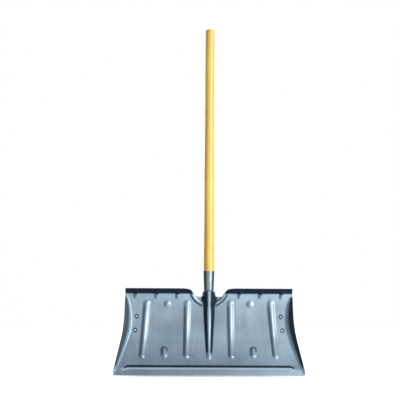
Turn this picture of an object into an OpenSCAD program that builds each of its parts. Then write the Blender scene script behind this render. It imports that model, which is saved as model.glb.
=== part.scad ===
// Snow shovel: a pressed steel blade, a rolled steel socket welded into its
// neck, and a straight wooden handle held in the socket by one nail.
// Millimetres. Z is up along the handle, the hollow front of the blade faces -Y,
// X = 0 is the middle, and the origin is the middle of the ground cutting edge.

/* [Blade] */
// Width of the blade at the top fold, over the side cheeks
blade_top_width = 564; // [460:2:700]
// Width of the blade at the bottom corners, over the side cheeks
blade_bottom_width = 636; // [560:2:800]
// Height of the top fold above the cutting edge
blade_height = 272; // [236:2:330]
// Radius of the hollow front face, seen from the side
blade_radius = 280; // [230:2:360]
// Thickness of the blade sheet
sheet = 1.5; // [1.2:0.1:2]
// Height of the groove that sets off the lip along the cutting edge
lip_height = 31; // [24:1:44]
// Depth of the lip groove behind the face
lip_groove = 3; // [1.5:0.1:4]
// Width of the stiffening flange folded forward along the top
flange_width = 24; // [16:1:34]
// Lean of the top flange away from upright, in degrees
flange_lean = 51; // [35:1:65]
// Outward splay of the side cheeks, in degrees
cheek_splay = 40; // [25:1:50]

/* [Ribs and holes] */
// Distance of the two inner long ribs from the middle
inner_rib_x = 75; // [66:1:92]
// Distance of the two outer long ribs from the middle
outer_rib_x = 216.5; // [190:0.5:230]
// Width of a long rib
rib_width = 24; // [18:1:28]
// Height of a long rib
rib_rise = 6.5; // [4:0.5:9]
// Distance between the two upper tie holes
upper_hole_span = 486; // [476:2:500]
// Distance between the two lower tie holes
lower_hole_span = 496; // [486:2:506]
// Height of the upper tie holes above the lower ones
hole_span_z = 46; // [30:1:60]
// Diameter of a tie hole
hole_d = 5; // [4:0.5:10]

/* [Socket] */
// Outside diameter of the socket at its rim
socket_rim_d = 36.8; // [31:0.2:42]
// Outside diameter of the socket at its lower end, inside the blade rib
socket_end_d = 27.4; // [24:0.2:29]
// How far the socket rim stands above the top fold
socket_above_fold = 74; // [60:1:110]
// How far the socket runs down behind the blade below the top fold
socket_below_fold = 72; // [50:1:80]
// Wall of the socket
socket_wall = 1.5; // [1.2:0.1:2]
// Width of the open seam down the back of the socket
seam_gap = 2; // [1:0.2:4]

/* [Handle] */
// Length of handle showing above the socket rim
handle_showing = 822; // [600:1:1200]
// Diameter of the handle at the shoulder on the socket rim
handle_foot_d = 36; // [31:0.2:44]
// Diameter of the handle at the grip
handle_grip_d = 29.8; // [24:0.2:32]
// Length of the handle pushed into the socket
tenon_length = 64; // [45:1:70]
// Length of the straight round grip at the top of the handle
grip_length = 280; // [180:5:400]
// Rounding of the top end of the handle
tip_rounding = 8; // [3:0.5:11]

/* [Nail] */
// Distance of the nail below the socket rim
nail_below_rim = 30; // [20:1:40]
// Diameter of the nail shank
nail_d = 3; // [2:0.2:4]
// Diameter of the nail head
nail_head_d = 8; // [6:0.5:10]

/* [Hidden] */
$fn = 96;

steel = [0.55, 0.62, 0.68];
weld_grey = [0.25, 0.26, 0.28];
wood = [0.86, 0.66, 0.33];

// The front face is part of a cylinder lying along X. Its middle stands level
// with arc_z, and the sheet is upright there.
arc_z = blade_height - 49;
arc_front_y = -2;
arc_y = arc_front_y - blade_radius;
function arc_angle(z) = asin((z - arc_z) / blade_radius);
function arc_pt(z, out = 0) = [arc_y + (blade_radius + out) * cos(arc_angle(z)),
                               arc_z + (blade_radius + out) * sin(arc_angle(z))];
function ang_pt(a, out = 0) = [arc_y + (blade_radius + out) * cos(a),
                               arc_z + (blade_radius + out) * sin(a)];
top_a = arc_angle(blade_height);
lip_a = arc_angle(lip_height);
fold = arc_pt(blade_height);
lip_top = arc_pt(lip_height);

// Chord from the top fold to the cutting edge, which the cheeks fill up to.
lip_dir = [sin(lip_a), -cos(lip_a)];
lip_run = lip_height / cos(lip_a);
groove_run = 16;
edge_y = lip_top[0] + lip_run * lip_dir[0];
chord_dy = edge_y - fold[0];
chord_len = sqrt(chord_dy * chord_dy + blade_height * blade_height);
chord_tilt = atan(-chord_dy / blade_height);
cheek_drift = atan((blade_bottom_width - blade_top_width) / 2 / chord_len);

// The pieces are drawn round the handle's axis, then set back by this much, which
// puts the middle of the ground cutting edge on the origin.
stand_back = -(edge_y + sheet / cos(lip_a) / 2);
module on_edge() translate([0, stand_back, 0]) children();

// Heights of the pressed details, as shares of the blade's height.
rib_top_z = 0.87 * blade_height;
rib_foot_z = 0.26 * blade_height;
neck_top = blade_height + 7;
notch_floor = blade_height - 12;
core_foot_z = 0.22 * blade_height;
core_start_z = blade_height - socket_below_fold + 3;

rim_z = blade_height + socket_above_fold;
socket_end_z = blade_height - socket_below_fold;
handle_top = rim_z + handle_showing;
function socket_r(z) = (socket_end_d + (socket_rim_d - socket_end_d)
                        * (z - socket_end_z) / (rim_z - socket_end_z)) / 2;
nail_z = rim_z - nail_below_rim;
nail_reach = 9;
neck_slack = 0.15;

module along_x(w) rotate([90, 0, 90]) translate([0, 0, -w / 2]) linear_extrude(w) children();
module along_y(near, far) translate([0, far, 0]) rotate([90, 0, 0]) linear_extrude(far - near) children();

// Everything in front of a face that lies `out` behind the blade's front face.
module before_face(out, w) translate([-w / 2, arc_y, arc_z]) rotate([0, 90, 0])
  cylinder(h = w, r = blade_radius + out, $fn = 600);

// ---- blade ----
module sheet_profile() {
  intersection() {
    difference() {
      translate([arc_y, arc_z]) circle(blade_radius + sheet, $fn = 200);
      translate([arc_y, arc_z]) circle(blade_radius, $fn = 200);
    }
    polygon([[arc_y, arc_z],
             [arc_y + 2 * blade_radius * cos(lip_a), arc_z + 2 * blade_radius * sin(lip_a)],
             [arc_y + 3 * blade_radius, arc_z],
             [arc_y + 2 * blade_radius * cos(top_a), arc_z + 2 * blade_radius * sin(top_a)]]);
  }
  // lip: a groove with a steep upper wall and a long lower one, then the edge
  translate(lip_top) rotate(lip_a - 90)
    polygon([[-0.8, 0], [0, 0], [2.2, lip_groove], [groove_run, 0], [lip_run + 12, 0],
             [lip_run + 12, sheet], [groove_run, sheet], [2.4, lip_groove + sheet],
             [-0.6, sheet], [-0.8, sheet - 0.1]]);
  // top flange
  translate(fold) rotate(90 + flange_lean) translate([-0.6, -sheet]) square([flange_width + 0.6, sheet]);
}

module outline() {
  half_top = blade_top_width / 2 + 1;
  half_low = blade_bottom_width / 2;
  top = blade_height + flange_width + 10;
  difference() {
    polygon([[-half_top, top], [half_top, top], [half_top, blade_height - 40],
             [half_low + 40, 60], [half_low, 8], [half_low - 8, 0],
             [-half_low + 8, 0], [-half_low, 8], [-half_low - 40, 60],
             [-half_top, blade_height - 40]]);
    notch();
    mirror([1, 0]) notch();
  }
}
// Relief beside the neck: flat floor, sloping side, then the swept end of the flange.
// The two meet in the middle, so that nothing of the flange is left in front of the socket.
module notch() polygon([[-0.5, notch_floor], [42, notch_floor], [45, notch_floor + 1.5], [49, notch_floor + 7],
    [55.5, notch_floor + 16], [58, notch_floor + 20], [62, notch_floor + 23.5],
    [68, notch_floor + 26], [78, notch_floor + 27.4], [84, notch_floor + 27.8],
    [84, notch_floor + 70], [-0.5, notch_floor + 70]]);

// The cheek's flat plane, in a frame hung from the top fold and laid along the chord.
module cheek_frame() translate([blade_top_width / 2, fold[0], blade_height]) rotate([-chord_tilt, 0, 0])
  rotate([0, -cheek_drift, 0]) rotate([0, 0, cheek_splay]) children();
module beyond_cheek() cheek_frame() translate([-0.2 * sheet, -200, -500]) cube([300, 500, 800]);

cheek_hollow = 13;
cheek_half = chord_len / 2 + 4;
cheek_edge_r = (cheek_half * cheek_half + cheek_hollow * cheek_hollow) / (2 * cheek_hollow);
module cheek() intersection() {
  cheek_frame() translate([-sheet, -120, -500]) cube([sheet, 300, 700]);
  along_x(2 * blade_bottom_width) difference() {
    translate([arc_y, arc_z]) circle(blade_radius + 0.8 * sheet, $fn = 200);
    translate([fold[0] + chord_dy / 2, blade_height / 2]) rotate(-chord_tilt)
      translate([cheek_hollow - cheek_edge_r, 0]) circle(cheek_edge_r, $fn = 400);
    translate([-1000, -999]) square([2000, 1001]);
  }
}

// A pressed rib is a length of ring with round ends, standing `rise` in front of the face.
end_swell = 0.15;
function rib_r(w, rise) = (w * w / 4 + rise * rise) / (2 * rise);
module rib_body(x, lean, z0, z1, w, rise, grow) {
  r = rib_r(w, rise);
  out = r - rise;
  a0 = arc_angle(z0);
  a1 = arc_angle(z1);
  translate([x, arc_y, (z0 + z1) / 2]) rotate([0, lean, 0]) translate([0, 0, arc_z - (z0 + z1) / 2]) {
    rotate([a0, 0, 0]) rotate([0, 90, 0]) rotate([0, 0, 90])
      rotate_extrude(angle = a1 - a0, $fn = 200) translate([blade_radius + out, 0]) circle(r + grow);
    for (a = [a0, a1]) translate([0, (blade_radius + out) * cos(a), (blade_radius + out) * sin(a)])
      sphere(r + grow + end_swell);
  }
}
rib_lean = atan(15 / 185);
module long_ribs(grow) for (s = [-1, 1]) {
  rib_body(s * inner_rib_x, -s * 1.3, rib_foot_z, rib_top_z, rib_width, rib_rise, grow);
  rib_body(s * outer_rib_x, -s * rib_lean, rib_foot_z, rib_top_z, rib_width, rib_rise, grow);
}
dimple_x = (inner_rib_x + outer_rib_x) / 2 - 7;
dimple_z = 0.866 * blade_height;
dimple_w = 26;
dimple_rise = 4;
module dimples(grow) {
  r = rib_r(dimple_w, dimple_rise);
  for (s = [-1, 1]) translate([s * dimple_x, arc_pt(dimple_z, r - dimple_rise)[0],
                               arc_pt(dimple_z, r - dimple_rise)[1]]) sphere(r + grow);
}
short_x = (inner_rib_x + outer_rib_x) / 2 + 4;
module short_ribs(grow) for (s = [-1, 1])
  rib_body(s * short_x, 0, rib_foot_z, rib_foot_z + 20, rib_width, rib_rise - 1.5, grow);

// Bead pressed round the neck, following the two notches.
bead_r = 59;
bead_w = 13;
bead_rise = 4;
module bead(grow) {
  r = rib_r(bead_w, bead_rise);
  mid = arc_pt(blade_height - 25, r - bead_rise);
  translate([0, mid[0], mid[1]]) rotate([6, 0, 0]) translate([0, 0, 44]) rotate([90, 0, 0])
    rotate_extrude() translate([bead_r, 0]) circle(r + grow);
}

// Short pressed darts across the corner between the sheet and the top flange.
dart_x = [105, 175, 246];
dart_low = arc_pt(blade_height - 18);
dart_high = fold + 15 * [-sin(flange_lean), cos(flange_lean)];
dart_run = dart_high - dart_low;
dart_lean = atan2(-dart_run[0], dart_run[1]);
dart_back = 5;
module darts(r) for (s = [-1, 1], x = dart_x)
  translate([s * x * blade_top_width / 564, dart_low[0] + dart_back * cos(dart_lean),
             dart_low[1] + dart_back * sin(dart_lean)])
    rotate([dart_lean, 0, 0]) translate([0, 0, -6]) cylinder(h = norm(dart_run) + 12, r = r);
module dart_corner() along_x(blade_top_width - 20)
  polygon([arc_pt(blade_height - 34, 0.4), arc_pt(blade_height - 17, 0.4), fold + [0.4, 0.3],
           fold + (flange_width - 1) * [-sin(flange_lean), cos(flange_lean)]
             + 0.4 * [cos(flange_lean), sin(flange_lean)],
           fold + [-60, -20]]);

// The middle rib: a straight neck over the socket, then a taper along the curve.
core = [for (i = [0:3]) let (a = arc_angle(core_start_z) + i / 3 * (arc_angle(core_foot_z) - arc_angle(core_start_z)),
        r = socket_r(core_start_z) + neck_slack + sheet - i / 3 * 5.5)
        [ang_pt(a, 3 + 0.65 * i)[0], ang_pt(a, 3 + 0.65 * i)[1], r]];
module core_rib(grow) {
  r_top = socket_r(neck_top) + neck_slack + sheet + grow;
  r_low = socket_r(core_start_z) + neck_slack + sheet + grow;
  translate([0, 0, core_start_z]) cylinder(h = neck_top - core_start_z + (grow < 0 ? 1 : 0), r1 = r_low,
    r2 = r_top + (grow < 0 ? 0.024 : 0));
  for (i = [0:2]) {
    p = core[i];
    q = core[i + 1];
    step = [q[0] - p[0], q[1] - p[1]];
    translate([0, p[0], p[1]]) rotate([atan2(-step[0], step[1]), 0, 0])
      cylinder(h = norm(step), r1 = p[2] + grow, r2 = q[2] + grow);
    translate([0, q[0], q[1]]) sphere(q[2] + grow + end_swell);
  }
  translate([0, core[0][0], core[0][1]]) sphere(core[0][2] + grow + end_swell);
}

module tie_holes() for (side = [-1, 1], row = [[upper_hole_span, 1], [lower_hole_span, -1]])
  translate([side * row[0] / 2, arc_y + blade_radius + 30, hole_mid_z + row[1] * hole_span_z / 2])
    rotate([90, 0, 0]) cylinder(h = 120, d = hole_d);
hole_mid_z = 0.624 * blade_height;

module blade() color(steel) on_edge() difference() {
  union() {
    difference() {
      intersection() {
        along_x(blade_bottom_width + 40) intersection() {
          sheet_profile();
          translate([-1000, 0]) square([2000, 2000]);
        }
        along_y(-400, 200) outline();
      }
      beyond_cheek();
      mirror([1, 0, 0]) beyond_cheek();
    }
    cheek();
    mirror([1, 0, 0]) cheek();
    intersection() {
      union() {
        long_ribs(0);
        dimples(0);
        short_ribs(0);
        core_rib(0);
      }
      before_face(0.6 * sheet, blade_bottom_width + 40);
    }
    intersection() {
      bead(0);
      before_face(0.6 * sheet, 200);
      along_y(-100, 100) difference() {
        translate([-100, blade_height - 100]) square([200, 99.5]);
        notch();
        mirror([1, 0]) notch();
      }
    }
    intersection() {
      darts(7.5);
      dart_corner();
    }
  }
  long_ribs(-sheet);
  dimples(-sheet);
  short_ribs(-sheet);
  core_rib(-sheet);
  intersection() {
    bead(-sheet);
    along_y(-100, 100) translate([-100, blade_height - 100]) square([200, 96]);
  }
  darts(7.5 - sheet);
  tie_holes();
}

// ---- socket ----
module socket_outer(extra = 0) translate([0, 0, socket_end_z])
  cylinder(h = rim_z - socket_end_z, d1 = socket_end_d + extra, d2 = socket_rim_d + extra);
module nail_path() translate([0, nail_reach, nail_z]) rotate([90, 0, 0]) cylinder(h = 60, d = nail_d);

module socket() color(steel) on_edge() difference() {
  rotate_extrude() polygon([[socket_end_d / 2 - socket_wall, socket_end_z], [socket_end_d / 2, socket_end_z],
                            [socket_rim_d / 2, rim_z], [socket_rim_d / 2 - socket_wall, rim_z]]);
  translate([-seam_gap / 2, 4, socket_end_z - 1]) cube([seam_gap, 40, rim_z - socket_end_z + 2]);
  nail_path();
}

// ---- handle ----
tenon_foot_z = rim_z - tenon_length;
module handle() color(wood) on_edge() difference() {
  union() {
    translate([0, 0, tenon_foot_z]) cylinder(h = tenon_length + 0.4,
      r1 = socket_r(tenon_foot_z) - socket_wall - 0.05, r2 = socket_r(rim_z) - socket_wall - 0.05);
    translate([0, 0, rim_z + 0.3]) cylinder(h = 2, r1 = handle_foot_d / 2 - 1.2, r2 = handle_foot_d / 2);
    translate([0, 0, rim_z + 2.3]) cylinder(h = handle_showing - 2.3 - grip_length,
      d1 = handle_foot_d, d2 = handle_grip_d);
    translate([0, 0, handle_top - grip_length]) cylinder(h = grip_length - tip_rounding, d = handle_grip_d);
    translate([0, 0, handle_top - tip_rounding - 0.5]) rotate_extrude() {
      square([handle_grip_d / 2 - tip_rounding, tip_rounding + 0.5]);
      intersection() {
        translate([handle_grip_d / 2 - tip_rounding, 0.5]) circle(tip_rounding);
        square([handle_grip_d / 2, 40]);
      }
      square([handle_grip_d / 2, 0.5]);
    }
  }
  nail_path();
}

// ---- nail ----
module retaining_nail() color(weld_grey) on_edge() {
  r = socket_r(nail_z);
  translate([0, nail_reach, nail_z]) rotate([90, 0, 0]) cylinder(h = nail_reach + r + 0.5, d = nail_d);
  intersection() {
    translate([0, -r + 7.2, nail_z]) sphere(9.2);
    translate([0, -r + 0.5, nail_z]) rotate([90, 0, 0]) cylinder(h = 6, d = nail_head_d);
    translate([-20, -r - 20, nail_z - 20]) cube([40, 20 - 0.05, 40]);
  }
}

// ---- welds ----
module neck_body() intersection() {
  translate([0, 0, core_start_z]) cylinder(h = neck_top - core_start_z,
    r1 = socket_r(core_start_z) + neck_slack + sheet, r2 = socket_r(neck_top) + neck_slack + sheet);
  before_face(sheet, 100);
}
module weld_mouth() color(weld_grey) on_edge() difference() {
  intersection() {
    translate([0, 0, neck_top + 0.4]) rotate_extrude() translate([socket_r(neck_top) + 0.4, 0]) circle(2.4);
    translate([-30, -40, neck_top]) cube([60, 40 + arc_pt(neck_top)[0], 10]);
  }
  socket_outer();
}
// A fillet run of square section set on edge, `side` wide, standing along Z.
module run(x, y, z0, z1, side) translate([x, y, z0]) rotate([0, 0, 45])
  translate([-side / 2, -side / 2, 0]) cube([side, side, z1 - z0]);
module ear(s) color(weld_grey) on_edge() difference() {
  run(s * (socket_r(notch_floor + 8) + 2.4), -5.6, notch_floor + 0.02, notch_floor + 17, 6.4);
  socket_outer();
  neck_body();
}
module weld_ear_left() ear(-1);
module weld_ear_right() ear(1);
module rear_run(s) color(weld_grey) on_edge() difference() {
  run(s * (socket_r(socket_end_z + 28) + 1), arc_front_y + sheet + 0.8, socket_end_z + 6, socket_end_z + 50, 5.4);
  socket_outer();
  before_face(sheet, 100);
}
module weld_rear_left() rear_run(-1);
module weld_rear_right() rear_run(1);

blade();
socket();
handle();
retaining_nail();
weld_mouth();
weld_ear_left();
weld_ear_right();
weld_rear_left();
weld_rear_right();
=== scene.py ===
# %% [markdown]
# # A steel snow shovel
#
# The real tool has few pieces: one pressed steel blade, a rolled steel socket
# welded into the blade's neck, a turned wooden pole, and the nail that keeps the
# pole in the socket. The frame below gives every piece's place. Heights and the
# pole's axis are read from it, and the rest are sizes with names, so that a reader
# can change one and see what it does.

# %% Load the frame
from math import cos, hypot, pi, radians, sin
from random import Random

import bmesh
import bpy
import numpy as np
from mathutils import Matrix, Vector


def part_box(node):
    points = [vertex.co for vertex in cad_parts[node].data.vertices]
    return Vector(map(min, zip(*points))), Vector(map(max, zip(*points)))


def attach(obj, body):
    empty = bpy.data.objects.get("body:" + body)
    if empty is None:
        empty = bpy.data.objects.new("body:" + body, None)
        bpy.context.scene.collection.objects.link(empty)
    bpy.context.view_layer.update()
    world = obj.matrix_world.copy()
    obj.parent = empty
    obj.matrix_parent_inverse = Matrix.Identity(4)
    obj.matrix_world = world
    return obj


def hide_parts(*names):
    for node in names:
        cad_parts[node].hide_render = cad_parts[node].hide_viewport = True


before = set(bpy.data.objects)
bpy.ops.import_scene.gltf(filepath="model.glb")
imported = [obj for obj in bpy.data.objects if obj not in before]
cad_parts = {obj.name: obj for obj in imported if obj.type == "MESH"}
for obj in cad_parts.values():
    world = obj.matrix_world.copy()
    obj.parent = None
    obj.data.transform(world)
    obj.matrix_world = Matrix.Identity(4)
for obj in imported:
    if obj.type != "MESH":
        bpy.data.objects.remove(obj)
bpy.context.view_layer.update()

print("solids:", sorted(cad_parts))

# %% [markdown]
# ## Sizes
#
# Drawings of sheet metal are in millimetres, so this script is too, and each mesh
# is scaled to metres once, when it is made. The heights and the handle's axis come
# from the frame. The rest are the press shop's own sizes.

# %% Sizes in millimetres
MM = 0.001


def span(node):
    """Lowest and highest corners of a solid, in millimetres."""
    low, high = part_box(node)
    return [v / MM for v in low], [v / MM for v in high]


socket_low, socket_high = span("socket")
handle_low, handle_high = span("handle")
nail_low, nail_high = span("retaining_nail")

AXIS_Y = (handle_low[1] + handle_high[1]) / 2  # the pole's axis, behind the cutting edge
RIM_Z = socket_high[2]
SOCKET_END_Z = socket_low[2]
SOCKET_RIM_R = (socket_high[0] - socket_low[0]) / 2
SOCKET_END_R = 13.7
SHEET = 1.5

FOLD_Z = SOCKET_END_Z + 72  # where the top flange starts to fold forward
ARC_R = 280  # radius of the hollow face
ARC_Z = FOLD_Z - 49  # height at which the sheet stands upright
FACE_AHEAD = 2  # there the face is this far in front of the pole's axis
LIP_Z = 31  # height of the line that sets off the lip
LIP_GROOVE = 3.4
FLANGE = 24
FLANGE_LEAN = radians(51)
CHEEK_TURN = radians(50)  # how far the side cheeks are folded forward
print(f"pole axis at y = {AXIS_Y:.1f}, socket rim at z = {RIM_Z:.1f}, top fold at z = {FOLD_Z:.1f} mm")

# %% [markdown]
# ## The side view of the blade
#
# From the side the sheet is one smooth line: a flat lip, a long arc, then a tight
# bend into the top flange. A bent line is easiest to make by its heading: the lean
# at each distance along the sheet, added up in small steps, gives the line itself.

# %% The sheet's side line
LIP_LEAN = -np.arcsin((ARC_Z - LIP_Z) / ARC_R)
TOP_LEAN = np.arcsin((FOLD_Z - ARC_Z) / ARC_R)
LIP_RUN = LIP_Z / cos(LIP_LEAN)
ARC_RUN = ARC_R * (TOP_LEAN - LIP_LEAN)
FOLD_S = LIP_RUN + ARC_RUN
BEND_RUN = 5.0
TOP_S = FOLD_S + FLANGE + 0.8


def ease(a, b, x):
    """0 below a, 1 above b, and a smooth S between them."""
    t = np.clip((x - a) / (b - a), 0, 1)
    return t * t * (3 - 2 * t)


def neck_lean_at(s):
    """How far the sheet leans forward at distance s from its edge, if it has no flange."""
    return np.clip(LIP_LEAN + (s - LIP_RUN) / ARC_R, LIP_LEAN, TOP_LEAN)


def lean_at(s):
    """The same, with the bend into the top flange."""
    bend = ease(FOLD_S - BEND_RUN / 2, FOLD_S + BEND_RUN / 2, s)
    return neck_lean_at(s) + (FLANGE_LEAN - TOP_LEAN) * bend


walk = np.linspace(0, TOP_S, 6000)
step = walk[1] - walk[0]


def side_line(lean):
    """Points (y, z) of a line that starts at the cutting edge and follows a lean."""
    y = AXIS_Y - FACE_AHEAD - ARC_R * (1 - cos(LIP_LEAN)) - LIP_RUN * sin(-LIP_LEAN)
    mid = (lean[1:] + lean[:-1]) / 2
    return (y - np.concatenate([[0], np.cumsum(np.sin(mid)) * step]),
            np.concatenate([[0], np.cumsum(np.cos(mid)) * step]))


line_y, line_z = side_line(lean_at(walk))
neck_y, neck_z = side_line(neck_lean_at(walk))


def up(z):
    """Distance along the sheet at height z."""
    return np.interp(z, neck_z, walk)


print(f"sheet is {TOP_S:.0f} mm from edge to flange; lip {LIP_RUN:.0f}, arc {ARC_RUN:.0f} mm")

# %% [markdown]
# ## The outline and the side cheeks
#
# Seen from the front the blade stands straight below the flange, then flares
# towards the cutting edge. Both sides are folded forward into shallow crescents,
# the cheeks, so the sheet has two side lines: where it starts to fold, and where
# the cheek ends. Each is a short formula.

# %% The outline
TOP_HALF_WIDTH = 280.5
FLARE_Z = FOLD_Z - 120  # the height round which the flare sets in
FLARE_SLOPE = 0.262
FLARE_SOFTNESS = 50
CORNER_R = 8


def half_width(z):
    """Half the width over the cheeks at height z."""
    below = FLARE_Z - z
    flare = FLARE_SLOPE * (below + np.sqrt(below * below + FLARE_SOFTNESS ** 2)) / 2
    in_corner = np.clip(CORNER_R - z, 0, CORNER_R)
    corner = CORNER_R - np.sqrt(np.clip(CORNER_R ** 2 - in_corner ** 2, 0, None))
    return TOP_HALF_WIDTH + flare - corner


CHEEK_MID_Z = 0.58 * FOLD_Z  # the crescent is widest here
CHEEK_WIDTH = 26.0
CHEEK_RISE, CHEEK_FALL = 106, 145  # how far it reaches up and down from there
CHEEK_TAPER = 0.68


def cheek_width(z):
    """How far the cheek reaches sideways at height z, as seen from the front."""
    above = np.sqrt(np.clip(1 - ((z - CHEEK_MID_Z) / CHEEK_RISE) ** 2, 0, 1))
    below = 1 - CHEEK_TAPER * np.clip((CHEEK_MID_Z - z) / CHEEK_FALL, 0, 1.15) ** 1.3
    return CHEEK_WIDTH * np.where(z > CHEEK_MID_Z, above, below)


middle_z, low_z = 140, 12
print("half width at the top, middle and foot:",
      [round(float(half_width(z)), 1) for z in (FOLD_Z, middle_z, low_z)])

# %% [markdown]
# ## What the press raises
#
# Every rib, dimple and bead is sheet pushed forward, so all of them are one height
# over the sheet, worked out at any point from its distance to each feature's middle
# line. The blade stays a single skin, as it really is, with true hollows behind the
# ribs, and a rib's width, height and taper stay plain numbers.

# %% Where the pressed features are
RIB_RISE = 6.5
RIB_HALF = 14.5  # half the width of a long rib at its top
LONG_RIBS = [(72.5, 75.6), (209, 224)]  # distance from the middle at the top and at the foot
RIB_TOP_S, RIB_FOOT_S = up(FOLD_Z - 24) - 12, up(55) + 8  # middles of the long ribs' round ends
SHORT_RIB_X = 149.5
SHORT_TOP_S, SHORT_FOOT_S = up(93) - 12, up(55) + 12
DIMPLE_X, DIMPLE_S = 139.5, up(FOLD_Z - 38)
BEAD_R, BEAD_MIDDLE_S = 59.5, FOLD_S + 19  # the bead is an arc about a point above the fold
NECK_TOP_Z = FOLD_Z + 7
CORE_START_Z = SOCKET_END_Z + 3  # the middle rib starts to taper here
CORE_START_S, CORE_FOOT_S = up(CORE_START_Z), up(58)
CORE_SLACK = 0.5
DART_X = (105, 175, 246)
LIP_ENDS = (270, 285)  # the lip's line turns down between these distances from the middle
LIP_DROP = 6
LIP_FADE = (276, 292)
WALL_RUN, GROOVE_RUN = 2.6, 22  # the groove's steep upper wall and where its long slope ends
NOTCH_FLOOR = FOLD_Z - 12
# Outline of the notch beside the neck, from its floor up to the flange's swept end.
NOTCH_SIDE = [(42, 0), (45, 1.5), (49, 7), (55.5, 16), (58, 20), (62, 23.5), (68, 26), (78, 27.4), (84, 27.8)]
print(f"long ribs run from s = {RIB_FOOT_S:.0f} to {RIB_TOP_S:.0f} mm along the sheet")

# %% Shapes that the heights are made of


def socket_r(z):
    """Outside radius of the tapered socket at height z."""
    return SOCKET_END_R + (SOCKET_RIM_R - SOCKET_END_R) * (z - SOCKET_END_Z) / (RIM_Z - SOCKET_END_Z)


def to_segment(x, s, a, b):
    """Distance from points to the line a-b, and how far along it they lie."""
    ax, as_, bx, bs = *a, *b
    run = hypot(bx - ax, bs - as_)
    t = np.clip(((x - ax) * (bx - ax) + (s - as_) * (bs - as_)) / run ** 2, 0, 1)
    return np.hypot(x - ax - t * (bx - ax), s - as_ - t * (bs - as_)), t


def swell(d, half):
    """A round-topped ridge with soft feet: 1 at its middle line, 0 from `half` outwards."""
    t = np.clip(d / half, 0, 1)
    return (0.5 + 0.5 * np.cos(pi * t)) ** 0.8


# %% Heights over the sheet


def long_ribs(x, s):
    h = 0 * x
    for top_x, foot_x in LONG_RIBS:
        d, t = to_segment(np.abs(x), s, (top_x, RIB_TOP_S), (foot_x, RIB_FOOT_S))
        h = np.maximum(h, RIB_RISE * (1 - 0.12 * t) * swell(d, RIB_HALF - 2.5 * t))
    return h


def dimples_and_short_ribs(x, s):
    dimples = 4.6 * swell(np.hypot(np.abs(x) - DIMPLE_X, s - DIMPLE_S), 15.5)
    d, _ = to_segment(np.abs(x), s, (SHORT_RIB_X, SHORT_TOP_S), (SHORT_RIB_X, SHORT_FOOT_S))
    return np.maximum(dimples, 5.0 * swell(d, 14))


def neck_bead(x, s):
    """The bead pressed round the neck, which ends at the fold."""
    d = np.abs(np.hypot(x, s - BEAD_MIDDLE_S) - BEAD_R)
    return 5.0 * swell(d, 8.0) * (1 - ease(FOLD_S - 2, FOLD_S + 4, s))


def core_taper(s):
    """0 where the middle rib starts to taper, 1 at its foot."""
    return np.clip((CORE_START_S - s) / (CORE_START_S - CORE_FOOT_S), 0, 1)


def core_rib(x, s, z):
    """The middle rib: half of a tapering round bar, sunk to a changing depth."""
    t = core_taper(s)
    face_y = np.interp(s, walk, neck_y) - AXIS_Y
    depth = np.where(t > 0, 3 + 2.1 * t, np.clip(-face_y, 2, 9))
    cover = SHEET + CORE_SLACK
    r = np.where(t > 0, socket_r(CORE_START_Z) + cover - 5.6 * t, socket_r(z) + cover)
    past = np.clip(CORE_FOOT_S - s, 0, None)  # the round nose at the foot
    bar = np.sqrt(np.clip(r * r - x * x - past * past, 0, None)) - depth
    shoulder = 11.0 * swell(np.abs(x), 27) * ease(FOLD_Z - 52, FOLD_Z - 16, z)  # spreads at the neck
    return np.maximum(bar, shoulder)


def blend_max(a, b, k):
    """The larger of two heights, with a fillet of about k where they meet."""
    return np.where(np.abs(a - b) < k, (a + b) / 2 + (a - b) ** 2 / (4 * k) + k / 4, np.maximum(a, b))


def below_lip_line(x, s):
    """Distance below the line that sets the lip off; the line's ends turn down."""
    return LIP_RUN - LIP_DROP * ease(*LIP_ENDS, np.abs(x)) - s


def lip(x, s):
    """The lip's groove: a steep upper wall below its line, then a long slope."""
    below = below_lip_line(x, s)
    fade = 1 - ease(*LIP_FADE, np.abs(x))
    return -LIP_GROOVE * fade * ease(0, WALL_RUN, below) * (1 - ease(WALL_RUN, GROOVE_RUN, below))


def notch_lip(x, z):
    """The notch's sloping side is turned forward a little, as the flange is."""
    d = 0 * x + 99
    for (x0, z0), (x1, z1) in zip(NOTCH_SIDE[1:4], NOTCH_SIDE[2:5]):
        here, _ = to_segment(np.abs(x), z, (x0, z0 + NOTCH_FLOOR), (x1, z1 + NOTCH_FLOOR))
        d = np.minimum(d, here)
    return 4.0 * (1 - np.clip(d / 7, 0, 1)) ** 2


def raised(x, s, z):
    """Height of the pressed sheet over its plain curve."""
    h = np.maximum(long_ribs(x, s), dimples_and_short_ribs(x, s))
    h = blend_max(h, neck_bead(x, s), 1.0)
    h = np.maximum(h, notch_lip(x, z))
    h = blend_max(h, core_rib(x, s, z), 2.0)
    return h + lip(x, s)


print("tallest point of the middle rib:", round(float(core_rib(0.0, up(225), 225.0)), 1), "mm")

# %% [markdown]
# ## Where the blade is painted dark or pale, and where it is worn or scraped
#
# Shade is painted into the colour: dark in the creases, beside the ribs, dimples,
# bead and darts, on the top flange, on the cheeks, round the holes and a little on
# the lower face. The lacquer also runs from the holes. On the lip a pale band under
# the line is a painted highlight. Lower down, the lacquer is thin where the lip
# slides on the ground, and it is made paler to the right as painted light. It is
# scraped in one patch. Each amount is worked out at the points of the mesh from the
# ribs' own sizes, so that it follows them, and is kept there for the material.

# %% Bands and sides
HOLE_X, HOLE_Z, HOLE_PITCH = (243, 248), 169.7, 46
HOLE_R = 2.5 - 0.4  # the lacquer narrows the punched hole
HOLE_ROWS = (HOLE_Z + HOLE_PITCH / 2, HOLE_Z - HOLE_PITCH / 2)


def band(d, half, soft):
    """1 within `half` of a line, fading to 0 over `soft`."""
    return 1 - ease(half, half + soft, np.abs(d))


def signed_side(x, s, a, b):
    """Distance to the right of the line a-b, seen from the front."""
    run = hypot(b[0] - a[0], b[1] - a[1])
    return ((x - a[0]) * (a[1] - b[1]) - (s - a[1]) * (a[0] - b[0])) / run


# %% Painted shade beside the features


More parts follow.
